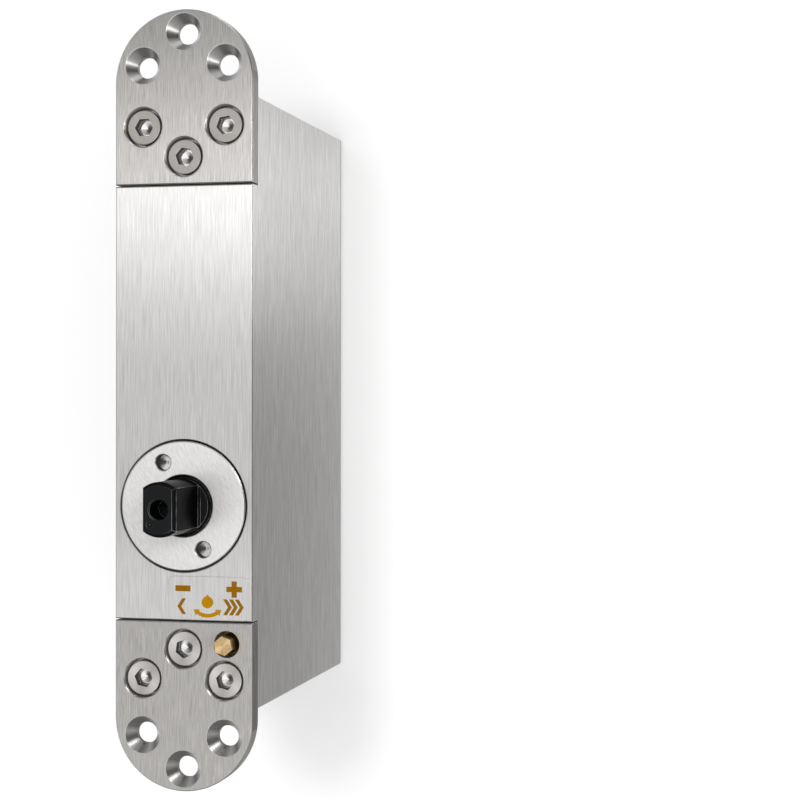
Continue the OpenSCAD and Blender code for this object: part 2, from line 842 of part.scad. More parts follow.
// Needle valve: hexagon through the plate, flange under it, stem with a ring groove, needle
module speed_valve() {
    stem_r = valve_d / 2;
    groove_r = stem_r - valve_ring_section + seat_clear;
    groove_half = valve_ring_section / 2 + 0.1;
    needle_foot = chamber_foot - 0.5;
    color(brass) on_valve_axis() {
        rotate(valve_hex_turn) hexagon(valve_hex_af, valve_flange_top - 0.1, valve_proud);
        rotate_extrude() polygon([
            [0, needle_foot], [needle_tip_d / 2, needle_foot], [needle_d / 2, chamber_foot + 1.2],
            [needle_d / 2, stem_foot], [stem_r, stem_foot], [stem_r, valve_groove_z - groove_half],
            [groove_r, valve_groove_z - groove_half], [groove_r, valve_groove_z + groove_half],
            [stem_r, valve_groove_z + groove_half], [stem_r, valve_flange_foot],
            [valve_flange_d / 2, valve_flange_foot], [valve_flange_d / 2, valve_flange_top],
            [0, valve_flange_top]
        ]);
    }
}

module valve_o_ring() {
    color(rubber) on_valve_axis() translate([0, 0, valve_groove_z]) rotate_extrude()
        translate([valve_d / 2 - valve_ring_section / 2 + seat_clear, 0])
        circle(d = valve_ring_section - seat_clear);
}

// A set screw that closes the mouth of the oil gallery
module gallery_plug() {
    high = gallery_plug_high;
    socket_l = 2;
    color(steel) translate([gallery_x, 0, gallery_z]) difference() {
        bar(gallery_plug_d, high - gallery_plug_l, high);
        translate([0, high - socket_l, 0]) rotate([-90, 0, 0])
            hexagon(gallery_plug_d / 2, 0, socket_l + over);
    }
}

body_block();
upper_end_plate();
lower_end_plate();
upper_plate_screws();
lower_plate_screws();
gland_ring();
gland_o_ring();
shaft_seal();
front_bush();
spindle();
thrust_shaft_washer();
thrust_cage();
thrust_balls();
thrust_housing_washer();
rear_bush();
damper_piston();
damper_piston_ring();
check_ball();
check_retainer();
spring_piston();
return_spring();
spring_seat();
damper_bore_plug();
spring_bore_plug();
damper_plug_o_ring();
spring_plug_o_ring();
speed_valve();
valve_o_ring();
gallery_plug();
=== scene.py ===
# %% [markdown]
# # A brushed steel hydraulic hinge unit
#
# The unit is a machined block with a round-ended plate at each end, a bright disc that holds a black
# spindle, six socket screws, a brass speed valve and a small printed label. Apart from the label, these
# are solids of the imported model, so this lesson is mostly about finish: how steel is brushed, turned or
# blackened, and how light makes that visible. Two things are modelled here: the printed label, and a
# copy of the spring.

# %% Load the frame
import json
import math

import bmesh
import bpy
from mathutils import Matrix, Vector


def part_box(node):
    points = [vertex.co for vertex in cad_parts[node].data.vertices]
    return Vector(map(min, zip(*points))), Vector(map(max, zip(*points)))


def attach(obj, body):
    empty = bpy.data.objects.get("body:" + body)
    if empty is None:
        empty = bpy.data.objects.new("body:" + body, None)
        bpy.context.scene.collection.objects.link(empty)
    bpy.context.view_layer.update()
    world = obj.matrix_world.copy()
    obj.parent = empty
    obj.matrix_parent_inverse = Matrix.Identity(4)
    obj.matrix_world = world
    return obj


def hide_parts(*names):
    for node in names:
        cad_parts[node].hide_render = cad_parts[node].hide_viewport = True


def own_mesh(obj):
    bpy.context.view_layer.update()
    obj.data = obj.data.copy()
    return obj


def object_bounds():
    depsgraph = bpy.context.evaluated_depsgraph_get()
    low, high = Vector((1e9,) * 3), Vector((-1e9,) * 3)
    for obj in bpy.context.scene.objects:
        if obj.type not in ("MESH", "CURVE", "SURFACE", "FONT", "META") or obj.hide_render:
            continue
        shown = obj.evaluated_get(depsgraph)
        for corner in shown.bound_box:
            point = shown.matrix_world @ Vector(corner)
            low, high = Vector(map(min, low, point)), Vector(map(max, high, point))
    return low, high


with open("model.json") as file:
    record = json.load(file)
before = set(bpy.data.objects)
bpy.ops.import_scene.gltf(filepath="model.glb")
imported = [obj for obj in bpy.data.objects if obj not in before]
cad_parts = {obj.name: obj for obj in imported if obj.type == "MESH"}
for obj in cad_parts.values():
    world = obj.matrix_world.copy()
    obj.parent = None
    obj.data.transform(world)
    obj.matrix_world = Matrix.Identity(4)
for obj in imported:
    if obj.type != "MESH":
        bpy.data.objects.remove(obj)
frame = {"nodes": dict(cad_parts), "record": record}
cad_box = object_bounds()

MM = 0.001
nodes = frame["nodes"]
joints = {joint["name"]: joint for joint in frame["record"]["behaviour"]["joints"]}
print("nodes", len(nodes), "box", [list(corner) for corner in cad_box])

# %% [markdown]
# ## The camera
#
# The unit lies on its back and the camera looks down on it, a little from the right, so that the
# right side shows too. A camera that looks straight down has no rotation at all, with +Y up in the
# picture, so one turn about Y gives the view. The focal length is written in pixels of a square
# picture and turned into millimetres of a 36 mm sensor.

# %% Camera
PICTURE_WIDTH = 800
FOCAL_LENGTH = 1884.7
SENSOR_WIDTH = 36.0
CAMERA_PLACE = (0.18347, 0.03180, 0.52082)
CAMERA_TURN = (-0.0017, 0.2243, 0.0009)

camera_data = bpy.data.cameras.new("camera")
camera_data.sensor_width = SENSOR_WIDTH
camera_data.lens = SENSOR_WIDTH * FOCAL_LENGTH / PICTURE_WIDTH
camera = bpy.data.objects.new("camera", camera_data)
camera.location = CAMERA_PLACE
camera.rotation_mode = "ZXY"
camera.rotation_euler = CAMERA_TURN
bpy.context.scene.collection.objects.link(camera)
bpy.context.scene.camera = camera
bpy.context.scene.view_settings.view_transform = "Standard"
print("lens", round(camera_data.lens, 2), "mm")

# %% [markdown]
# ## Helpers for shader nodes
#
# Every finish below is a small tree of shader nodes. These helpers add a node with its settings and
# join sockets, so that a finish reads as a list of what it does. A value that isn't a socket is
# written on the input itself.

# %% Node helpers
def feed(tree, value, socket):
    if isinstance(value, bpy.types.NodeSocket):
        tree.links.new(value, socket)
    else:
        socket.default_value = value


def set_inputs(tree, node, **inputs):
    for name, value in inputs.items():
        feed(tree, value, node.inputs[name.replace("_", " ")])
    return node


def add_node(tree, kind, **inputs):
    return set_inputs(tree, tree.nodes.new("ShaderNode" + kind), **inputs)


def operation_node(tree, kind, operation, values):
    node = tree.nodes.new("ShaderNode" + kind)
    node.operation = operation
    for socket, value in zip(node.inputs, values):
        feed(tree, value, socket)
    return node.outputs


def math_node(tree, operation, *values):
    return operation_node(tree, "Math", operation, values)[0]


def vector_node(tree, operation, *values):
    gives_number = operation in ("LENGTH", "DOT_PRODUCT")
    return operation_node(tree, "VectorMath", operation, values)["Value" if gives_number else "Vector"]


print("node helpers ready")

# %% Value and colour helpers
def blend_values(tree, factor, low, high):
    return math_node(tree, "MULTIPLY_ADD", math_node(tree, "SUBTRACT", high, low), factor, low)


def blend_colors(tree, factor, low, high):
    node = tree.nodes.new("ShaderNodeMix")
    node.data_type = "RGBA"
    feed(tree, factor, node.inputs["Factor"])
    feed(tree, low, node.inputs[6])
    feed(tree, high, node.inputs[7])
    return node.outputs[2]


def spread(tree, value, low, high, new_low=0.0, new_high=1.0):
    node = tree.nodes.new("ShaderNodeMapRange")
    for socket, number in zip(node.inputs, (value, low, high, new_low, new_high)):
        feed(tree, number, socket)
    return node.outputs[0]


def noise(tree, vector, scale, detail=2.0):
    return add_node(tree, "TexNoise", Vector=vector, Scale=scale, Detail=detail).outputs[0]


def coordinates(tree, kind):
    return add_node(tree, "TexCoord").outputs[kind]


def split(tree, vector):
    return add_node(tree, "SeparateXYZ", Vector=vector).outputs


def grey(value, warmth=0.0):
    return (value * (1 + warmth), value, value * (1 - warmth), 1.0)


BLACK = grey(0.0)
WHITE = grey(1.0)
print("value helpers ready")

# %% Material and group helpers
def start_material(name):
    material = bpy.data.materials.new(name)
    material.use_nodes = True
    tree = material.node_tree
    return material, tree, tree.nodes["Principled BSDF"]


def start_group(name, inputs, outputs):
    tree = bpy.data.node_groups.new(name, "ShaderNodeTree")
    for kind, label, value in inputs:
        socket = tree.interface.new_socket(label, in_out="INPUT", socket_type="NodeSocket" + kind)
        if value is not None:
            socket.default_value = value
    for kind, label in outputs:
        tree.interface.new_socket(label, in_out="OUTPUT", socket_type="NodeSocket" + kind)
    return tree, tree.nodes.new("NodeGroupInput").outputs, tree.nodes.new("NodeGroupOutput").inputs


def place_group(tree, group, **inputs):
    node = tree.nodes.new("ShaderNodeGroup")
    node.node_tree = group
    return set_inputs(tree, node, **inputs).outputs


print("material helpers ready")

# %% [markdown]
# ## The table
#
# The unit lies on a white table. For the camera the table glows with some light of its own and reads
# as white, while it still takes a soft shadow. A polished side would mirror that white as one flat
# tone, so mirrored rays see a grey table instead. It grows darker away from the unit, and a pale card
# fades in towards the upper end, so that the side face runs through shades as real metal does.

# %% Table
FLOOR_HALF = 3.0
FLOOR_DROP = 0.05 * MM
FLOOR_GREY = 0.66
FLOOR_GLOW = 0.315
TABLE_LEVEL = 0.33
TABLE_FADE = (0.025, 0.16)
TABLE_NEAR = 1.12
TABLE_FAR = 0.5
CARD_GLOW = 0.31
CARD_FADE = (0.05, 0.11)
CARD_END = (0.105, 0.13)
CARD_REST = 0.7

floor_mesh = bmesh.new()
bmesh.ops.create_grid(floor_mesh, x_segments=1, y_segments=1, size=FLOOR_HALF)
bmesh.ops.translate(floor_mesh, verts=floor_mesh.verts, vec=(0, 0, cad_box[0].z - FLOOR_DROP))
floor_data = bpy.data.meshes.new("floor")
floor_mesh.to_mesh(floor_data)
floor_mesh.free()
floor = bpy.data.objects.new("floor", floor_data)
bpy.context.scene.collection.objects.link(floor)
print("floor at", round(floor.data.vertices[0].co.z / MM, 2), "mm")

# %% Table paint
floor_paint, tree, surface = start_material("floor_paint")
rays = add_node(tree, "LightPath").outputs
mirrored = math_node(tree, "MAXIMUM", rays["Is Glossy Ray"], rays["Is Transmission Ray"])
place = split(tree, coordinates(tree, "Object"))
card = math_node(
    tree, "MULTIPLY",
    spread(tree, place["Y"], *CARD_FADE, 0.0, CARD_GLOW),
    spread(tree, place["Y"], *CARD_END, 1.0, CARD_REST))
fade = spread(tree, place["X"], *TABLE_FADE, TABLE_NEAR, TABLE_FAR)
table = math_node(tree, "MULTIPLY", math_node(tree, "ADD", card, TABLE_LEVEL), fade)
table = math_node(tree, "MULTIPLY", table, mirrored)
set_inputs(
    tree, surface,
    Base_Color=blend_colors(tree, mirrored, grey(FLOOR_GREY), BLACK),
    Roughness=0.9,
    Specular_IOR_Level=0.0,
    Emission_Color=WHITE,
    Emission_Strength=math_node(tree, "MULTIPLY_ADD", rays["Is Camera Ray"], FLOOR_GLOW, table))
floor.data.materials.append(floor_paint)
print("table paint nodes", len(tree.nodes))

# %% [markdown]
# ## The ceiling
#
# A flat brushed face mirrors the ceiling above it, blurred along the smear of its scratches. So the
# world is painted as a ceiling: brighter over the lower end and to the right, darker beyond the upper
# end and the lower plate, and even near the horizon. The direction divided by its height tells where
# on the ceiling a ray lands. The camera itself sees plain white.

# %% Ceiling
HORIZON_LIGHT = 0.46
HORIZON_FADE = (0.2, 0.6)
LOWEST_HEIGHT = 0.1
CEILING_LIGHT = 0.65
LOWER_END_LIGHT = 0.37
LOWER_END_LEAN = (-0.02, -0.13)
UPPER_END_LOSS = 0.22
UPPER_END_LEAN = (0.125, 0.18)
LOWER_PLATE_LOSS = 0.08
LOWER_PLATE_LEAN = (-0.13, -0.17)
RIGHT_LIGHT = 1.0
RIGHT_LEAN = (-0.85, 0.15)

world = bpy.data.worlds.new("studio")
world.use_nodes = True
bpy.context.scene.world = world
tree = world.node_tree
direction = split(tree, coordinates(tree, "Generated"))
height = math_node(tree, "MAXIMUM", direction["Z"], LOWEST_HEIGHT)
lean_x = math_node(tree, "DIVIDE", direction["X"], height)
lean_y = math_node(tree, "DIVIDE", direction["Y"], height)
lower_end = spread(tree, lean_y, *LOWER_END_LEAN, CEILING_LIGHT, CEILING_LIGHT + LOWER_END_LIGHT)
upper_end = spread(tree, lean_y, *UPPER_END_LEAN, 0.0, -UPPER_END_LOSS)
lower_plate = spread(tree, lean_y, *LOWER_PLATE_LEAN, 0.0, -LOWER_PLATE_LOSS)
ceiling = math_node(tree, "ADD", math_node(tree, "ADD", lower_end, upper_end), lower_plate)
rightward = spread(tree, lean_x, *RIGHT_LEAN, 1 - RIGHT_LIGHT / 2, 1 + RIGHT_LIGHT / 2)
ceiling = math_node(tree, "MULTIPLY", ceiling, rightward)
overhead = spread(tree, direction["Z"], *HORIZON_FADE)
room = blend_values(tree, overhead, HORIZON_LIGHT, ceiling)
camera_ray = add_node(tree, "LightPath").outputs["Is Camera Ray"]
seen = math_node(tree, "MAXIMUM", camera_ray, room)
set_inputs(tree, tree.nodes["Background"], Color=WHITE, Strength=seen)
print("ceiling light", CEILING_LIGHT)

# %% [markdown]
# ## The lamps
#
# A long narrow softbox runs across the unit above its upper end, and brushed steel mirrors it as a
# bright band that fades along the block. Two small low lamps light reflections only: they put the
# glints into the holes and on the rims without lifting the rest. The soft shadow on the table comes
# from a sun lamp that reflections can't see, so that shadow and gloss can be set apart.

# %% Softboxes
def softbox(name, place, target, size, radiance, gloss_only=False):
    lamp = bpy.data.lights.new(name, "AREA")
    lamp.shape = "RECTANGLE"
    lamp.size = size[0]
    lamp.size_y = size[1]
    lamp.energy = radiance * math.pi * size[0] * size[1]
    lamp_object = bpy.data.objects.new(name, lamp)
    lamp_object.location = place
    aim = Vector(target) - Vector(place)
    lamp_object.rotation_euler = aim.to_track_quat("-Z", "Y").to_euler()
    lamp_object.visible_camera = False
    lamp_object.visible_diffuse = not gloss_only
    bpy.context.scene.collection.objects.link(lamp_object)
    print(name, "energy", round(lamp.energy, 2), "W")


UPPER_BLOCK = (0.0, 0.10, 0.0)

softbox(
    "overhead_strip", place=(-0.05, 0.211, 0.95), target=(-0.05, 0.211, 0.0), size=(1.5, 0.072),
    radiance=2.2)
softbox(
    "low_lamp", place=(0.22, 0.12, 0.11), target=UPPER_BLOCK, size=(0.10, 0.06),
    radiance=13.0, gloss_only=True)
softbox(
    "end_lamp", place=(0.03, 0.42, 0.17), target=UPPER_BLOCK, size=(0.12, 0.06),
    radiance=9.0, gloss_only=True)

# %% Shadow light
SHADOW_LIGHT = 1.2
SHADOW_SOFTNESS = math.radians(14)
SHADOW_LEAN = (-0.16, 0.2, 1.0)

shadow_data = bpy.data.lights.new("shadow_light", "SUN")
shadow_data.energy = SHADOW_LIGHT
shadow_data.angle = SHADOW_SOFTNESS
shadow_light = bpy.data.objects.new("shadow_light", shadow_data)
shadow_light.rotation_euler = Vector(SHADOW_LEAN).to_track_quat("Z", "Y").to_euler()
shadow_light.visible_glossy = False
bpy.context.scene.collection.objects.link(shadow_light)
print("shadow light", SHADOW_LIGHT)

# %% [markdown]
# ## Brushed grain
#
# Brushed steel is covered in fine parallel scratches from an abrasive belt. Scaling the coordinates
# hard across the lines and little along them stretches a plain noise into such streaks. One noise
# makes the soft bands that show from a step away, a finer one makes the scratches. The end faces of
# the block are square to its length, so the lines turn there and run across.

# %% Grain group
SQUARE_ON = 0.9
FINER = (3.1, 2.3, 3.1)

grain, given, result = start_group(
    "brushed_grain",
    [("Vector", "Vector", None), ("Float", "Line Width", 0.4), ("Float", "Line Length", 20.0)],
    [("Float", "Bands"), ("Float", "Scratches")],
)
across = math_node(grain, "DIVIDE", 1 / MM, given["Line Width"])
along = math_node(grain, "DIVIDE", 1 / MM, given["Line Length"])
facing_y = math_node(grain, "ABSOLUTE", split(grain, coordinates(grain, "Normal"))["Y"])
is_end = math_node(grain, "GREATER_THAN", facing_y, SQUARE_ON)
across_x = blend_values(grain, is_end, across, along)
stretch = add_node(grain, "CombineXYZ", X=across_x, Y=along, Z=across).outputs[0]
stretched = vector_node(grain, "MULTIPLY", given["Vector"], stretch)
finer = vector_node(grain, "MULTIPLY", stretched, FINER)
feed(grain, noise(grain, stretched, 1.0, detail=3.0), result["Bands"])
feed(grain, noise(grain, finer, 1.0), result["Scratches"])
print("grain group nodes", len(grain.nodes))

# %% [markdown]
# ## Broken edges
#
# No machined edge is perfectly sharp: it is filed or tumbled, and the tiny round catches the light
# as a thin bright line. Bevelling each solid would change its mesh, so the Bevel shader node bends
# the normal near an edge instead. Where the bent normal leaves the true one, there is an edge, and
# that gives a mask along which the finishes paint a highlight into the colour.

# %% Edge group
EDGE_SAMPLES = 6
EDGE_AGREEMENT = (0.995, 0.9)

edges, given, result = start_group(
    "broken_edges",
    [("Float", "Radius", 0.25)],
    [("Vector", "Normal"), ("Float", "Edge")],
)
rounded = add_node(edges, "Bevel", Radius=math_node(edges, "MULTIPLY", given["Radius"], MM))
rounded.samples = EDGE_SAMPLES
true_normal = add_node(edges, "NewGeometry").outputs["True Normal"]
agreement = vector_node(edges, "DOT_PRODUCT", rounded.outputs[0], true_normal)
feed(edges, rounded.outputs[0], result["Normal"])
feed(edges, spread(edges, agreement, *EDGE_AGREEMENT), result["Edge"])
print("edge group nodes", len(edges.nodes))

# %% [markdown]
# ## Painted shade in crevices
#
# Little light finds its way out of seams, screw sockets and the groove round the disc, so the finishes
# below paint shade there. Ambient occlusion tells how much open sky a point has within a short reach,
# and the finishes darken their colour with it.

# %% Crevice group
CREVICE_SAMPLES = 8
CREVICE_RANGE = (0.1, 0.75)
CREVICE_DARK = 0.12

crevice_shade_group, given, result = start_group(
    "painted_crevice_shade",
    [("Float", "Reach", 1.5)],
    [("Float", "Open")],
)
reach_m = math_node(crevice_shade_group, "MULTIPLY", given["Reach"], MM)
occlusion = add_node(crevice_shade_group, "AmbientOcclusion", Distance=reach_m)
occlusion.samples = CREVICE_SAMPLES
open_sky = spread(crevice_shade_group, occlusion.outputs["AO"], *CREVICE_RANGE, CREVICE_DARK, 1.0)
feed(crevice_shade_group, open_sky, result["Open"])


# painted shade: the colour is darkened where little open sky lies within the reach
def paint_crevice_shade(tree, color, reach):
    return vector_node(tree, "MULTIPLY", color, place_group(tree, crevice_shade_group, Reach=reach)["Open"])


print("crevice group nodes", len(crevice_shade_group.nodes))

# %% [markdown]
# ## Turned rings
#
# A lathe or a countersink leaves circles round its axis. On a cone or in a bore they are circles of
# equal height, so a noise that only reads the height draws them. On a flat face they are circles of
# equal distance from the axis.

# %% Ring group
rings, given, result = start_group(
    "turned_rings",
    [("Float", "Distance", 0.0), ("Float", "Pitch", 0.12)],
    [("Float", "Rings")],
)
distance_mm = math_node(rings, "DIVIDE", given["Distance"], MM)
ring_vector = add_node(rings, "CombineXYZ", X=math_node(rings, "DIVIDE", distance_mm, given["Pitch"]))
feed(rings, noise(rings, ring_vector.outputs[0], 1.0), result["Rings"])
print("ring group nodes", len(rings.nodes))

# %% [markdown]
# ## Painted wedges of shine
#
# Turned metal gathers light into bright wedges that stand like the hands of a clock round the axis, and
# leaves dull steel between them. A round lathe texture under real lamps could give them, but they would
# be lost wherever the room is even. So the wedges are painted highlights: each finish lists them, with
# the direction, how wide the shine is before and after it, and how strong it is. The ring noise makes
# their borders wander a little.

# %% Wedge helper
WEDGE_WANDER = 0.3


def wedges(tree, outward, wander, shine):
    way = split(tree, outward)
    turn = math_node(tree, "ARCTAN2", way["Y"], way["X"])
    turn = math_node(tree, "MULTIPLY_ADD", math_node(tree, "SUBTRACT", wander, 0.5), WEDGE_WANDER, turn)
    painted_brightness = 0.0
    for angle, before, after, level in shine:
        away = math_node(tree, "SUBTRACT", turn, math.radians(angle))
        away = math_node(tree, "WRAP", away, math.pi, -math.pi)
        rise = spread(tree, away, -math.radians(before), 0.0, 0.0, level)
        fall = spread(tree, away, 0.0, math.radians(after), 1.0, 0.0)
        painted_brightness = math_node(tree, "MAXIMUM", math_node(tree, "MULTIPLY", rise, fall), painted_brightness)
    return painted_brightness


print("wedges wander", WEDGE_WANDER, "radians")

# %% [markdown]
# ## Which way the scratches run
#
# Scratches smear a reflection across themselves, and the shader calls the direction of that smear the
# tangent. On the flat faces the scratches run along the unit, or at a slant to it. On walls and cones
# they run round the contour, level with the face. The cross product of the normal with Z gives that
# level direction, and a small push along the brushing settles the flat faces, where the product
# vanishes. Turning the coordinates about Z slants the pattern of the scratches in the same way.

# %% Scratch helpers
PUSH = 0.02


def smear_direction(tree, slant):
    normal = add_node(tree, "NewGeometry").outputs["Normal"]
    level = vector_node(tree, "CROSS_PRODUCT", normal, (0, 0, 1))
    push = (-PUSH * math.sin(slant), PUSH * math.cos(slant), 0.0)
    return vector_node(tree, "CROSS_PRODUCT", normal, vector_node(tree, "ADD", level, push))


def slanted(tree, vector, slant):
    return add_node(tree, "Mapping", Vector=vector, Rotation=(0, 0, -slant)).outputs[0]


def add_bump(tree, height, depth, normal):
    bump = add_node(tree, "Bump", Height=height, Normal=normal, Strength=1.0, Distance=depth * MM)
    return bump.outputs[0]


print("scratch helpers ready")

# %% [markdown]
# ## Brushed block and plates
#
# The block and the plates are the same steel, brushed lengthwise on every long face. The grain mixes a
# dark and a light steel, with more contrast on the sides, which were brushed with a coarser belt.

# %% Grain on a face
SIDE_CONTRAST = 2.4
GRAIN_RANGE = (0.36, 0.64)


def grain_shade(tree, vector, line):
    lines = place_group(tree, grain, Vector=vector, Line_Width=line[0], Line_Length=line[1])
    return math_node(tree, "MULTIPLY", math_node(tree, "ADD", lines["Bands"], lines["Scratches"]), 0.5)


def grain_color(tree, shade, facing_x, dark, light):
    is_side = math_node(tree, "GREATER_THAN", math_node(tree, "ABSOLUTE", facing_x), SQUARE_ON)
    contrast = math_node(tree, "MULTIPLY_ADD", is_side, SIDE_CONTRAST - 1.0, 1.0)
    shade = blend_values(tree, contrast, 0.5, shade)
    return blend_colors(tree, spread(tree, shade, *GRAIN_RANGE), dark, light)


print("side contrast", SIDE_CONTRAST)

# %% [markdown]
# The holes were cut after the brushing, so their countersunk cones are turned: rings take the place of
# the grain there, and painted wedges of highlight stand on steel that is painted dark as shade. The
# height of the normal tells a cone from a flat face and from a wall. The upper and lower plates lie
# differently to the lamps, so each has its own list of wedges, as direction, width before, width after
# (in degrees) and level.

# %% Countersunk cones
CONE_RISE = (0.3, 0.4)
CONE_FALL = (0.8, 0.75)
CONE_PITCH = 0.1
CONE_ROUGHNESS = 0.42
CONE_SHADE = grey(0.21, 0.03)
CONE_HIGHLIGHT = grey(0.98, 0.01)
UPPER_CONES = [(167, 60, 7, 0.5), (220, 24, 28, 0.95), (342, 95, 55, 1.0), (60, 18, 20, 0.35)]
LOWER_CONES = [(170, 20, 20, 0.4), (222, 18, 32, 1.0), (288, 34, 34, 0.95), (5, 60, 80, 1.0)]


def cone_mask(tree, slope):
    return math_node(tree, "MULTIPLY", spread(tree, slope, *CONE_RISE), spread(tree, slope, *CONE_FALL))


def cone_color(tree, normal, wander, cones):
    outward = vector_node(tree, "MULTIPLY", normal, (-1, -1, 0))
    return blend_colors(tree, wedges(tree, outward, wander, cones), CONE_SHADE, CONE_HIGHLIGHT)


print("cone wedges", len(UPPER_CONES), len(LOWER_CONES))

# %% [markdown]
# Deep walls look nearly black, because light that enters a narrow hole hardly leaves it, so their colour
# is painted dark as shade. A dark metal still mirrors brightly at a glancing angle, so these walls stop
# being metal: where Metallic falls to zero and the specular level is zero, only the dark colour is left. A
# drilled hole ends in a shallow cone, which is known by its slope, and it is painted lit on one side and
# dark on the other. The long sides of the plates are painted a little darker as shade.

# %% Sunk walls, drilled floors and shaded plate sides
SINK_START = 0.05 * MM
SINK_FULL = 0.4 * MM
WALL_SLOPE = 0.6
DRILL_SLOPE = math.cos(math.radians(30))
DRILL_TOLERANCE = 0.03
DRILL_LIT = (0.48, 0.2)
DRILL_SHADE = grey(0.10, 0.06)
DRILL_HIGHLIGHT = grey(0.95, 0.02)
HALF_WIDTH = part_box("upper_end_plate")[1].x
SIDE_SHADE_DEPTH = 0.2 * MM


# painted shade: walls below the sink level blend towards black
def sunk_mask(tree, depth, slope, sink, darkening):
    sunk = spread(tree, depth, sink - SINK_START, sink - SINK_FULL, 0.0, darkening)
    return math_node(tree, "MULTIPLY", sunk, math_node(tree, "LESS_THAN", slope, WALL_SLOPE))


def drilled_mask(tree, depth, slope, sink):
    drilled = math_node(tree, "COMPARE", slope, DRILL_SLOPE, DRILL_TOLERANCE)
    return math_node(tree, "MULTIPLY", drilled, math_node(tree, "LESS_THAN", depth, sink))


# painted shade on the long sides of the plates
def side_shade_mask(tree, width, shade_level):
    shaded_side = math_node(tree, "GREATER_THAN", math_node(tree, "ABSOLUTE", width), HALF_WIDTH - SIDE_SHADE_DEPTH)
    return math_node(tree, "MULTIPLY", shaded_side, shade_level)


print("sawn edges at", round(HALF_WIDTH / MM, 1), "mm")

# %% [markdown]
# The finish puts these together: the grain first, then the cones, the painted shade on the plate sides
# and the sunk walls, then the painted highlight on the broken edges, the painted shade in the crevices,
# and the painted light and shade of the drilled floors last. The scratches also raise and lower the
# roughness a little, and a very small bump lets them catch the light. A scratch line is given by its
# width and length in millimetres.

# %% Brushed steel
ANISOTROPY = 0.95
BLOCK_LINE = (0.27, 15.0)
NO_SINK = -1.0
STEEL_EDGE = 0.3
EDGE_HIGHLIGHT_SHARE = 0.7
EDGE_HIGHLIGHT = grey(0.95)
SHADE_RANGE = (0.2, 0.8)
ROUGHNESS_SWING = 0.04
SCRATCH_DEPTH = 0.004


def brushed_steel(
        name, dark, light, roughness, slant=0.0, line=BLOCK_LINE, reach=1.5, sink=NO_SINK,
        sink_darkening=0.0, side_shade=0.0, cones=UPPER_CONES, anisotropy=ANISOTROPY):
    material, tree, surface = start_material(name)
    vector = coordinates(tree, "Object")
    normal = coordinates(tree, "Normal")
    place = split(tree, vector)
    facing_x = split(tree, normal)["X"]
    slope = math_node(tree, "ABSOLUTE", split(tree, normal)["Z"])
    turned = place_group(tree, rings, Distance=place["Z"], Pitch=CONE_PITCH)["Rings"]
    edge = place_group(tree, edges, Radius=STEEL_EDGE)
    cone = cone_mask(tree, slope)
    sunk = sunk_mask(tree, place["Z"], slope, sink, sink_darkening)
    drilled = drilled_mask(tree, place["Z"], slope, sink)

    shade = blend_values(tree, cone, grain_shade(tree, slanted(tree, vector, slant), line), turned)
    color = grain_color(tree, shade, facing_x, dark, light)
    # cones: painted highlight wedges on steel painted dark as shade
    color = blend_colors(tree, cone, color, cone_color(tree, normal, turned, cones))
    # painted shade on the long sides of the plates
    color = blend_colors(tree, side_shade_mask(tree, place["X"], side_shade), color, BLACK)
    # painted shade on the sunk walls
    color = blend_colors(tree, sunk, color, BLACK)
    # painted highlight along the broken edges
    color = blend_colors(tree, math_node(tree, "MULTIPLY", edge["Edge"], EDGE_HIGHLIGHT_SHARE), color, EDGE_HIGHLIGHT)
    # painted light and shade on the drilled floors: bright on one side, dark on the other
    drill_floor = blend_colors(tree, spread(tree, facing_x, *DRILL_LIT), DRILL_SHADE, DRILL_HIGHLIGHT)
    color = blend_colors(tree, drilled, paint_crevice_shade(tree, color, reach), drill_floor)
    rough = spread(tree, shade, *SHADE_RANGE, roughness + ROUGHNESS_SWING, roughness - ROUGHNESS_SWING)
    set_inputs(
        tree, surface,
        Base_Color=color,
        Roughness=blend_values(tree, cone, rough, CONE_ROUGHNESS),
        Metallic=math_node(tree, "SUBTRACT", 1.0, math_node(tree, "MAXIMUM", sunk, drilled)),
        Specular_IOR_Level=0.0,
        Anisotropic=anisotropy,
        Tangent=smear_direction(tree, slant),
        Normal=add_bump(tree, shade, SCRATCH_DEPTH, edge["Normal"]))
    return material


print("brushed steel smears by", ANISOTROPY)

# %% Block and plate steel
BACK_SINK = 1.3 * MM
PLATE_LINE = (0.17, 9.0)

# the block's walls within 1.3 mm of its back, beside the table, get painted shade
block_steel = brushed_steel(
    "brushed_block", dark=grey(0.58, 0.016), light=grey(0.84, 0.016), roughness=0.37,
    sink=cad_box[0].z + BACK_SINK, sink_darkening=0.6)
plate_steel = {}
for node, cones in (("upper_end_plate", UPPER_CONES), ("lower_end_plate", LOWER_CONES)):
    plate_steel[node] = brushed_steel(
        node + "_steel", dark=grey(0.35, 0.032), light=grey(0.645, 0.032), roughness=0.39,
        line=PLATE_LINE, reach=0.2, side_shade=0.34, cones=cones)
print("brushed", block_steel.name, [finish.name for finish in plate_steel.values()])

# %% [markdown]
# ## Gland ring
#
# The disc round the spindle was faced by hand on a belt, in line with its two spanner holes, so its
# scratches run at a slant. They are shorter and less even than on the block, so the smear is weaker.

# %% Gland steel
GLAND_SLANT = math.radians(26)
GLAND_LINE = (0.22, 2.4)

# the walls of the spanner holes and the groove get painted shade
gland_steel = brushed_steel(
    "gland_steel", dark=grey(0.74, 0.012), light=grey(0.99, 0.012), roughness=0.42, slant=GLAND_SLANT,
    line=GLAND_LINE, reach=0.8, sink=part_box("gland_ring")[1].z, sink_darkening=0.9, anisotropy=0.75)
print("gland scratches slant", round(math.degrees(GLAND_SLANT)), "degrees")

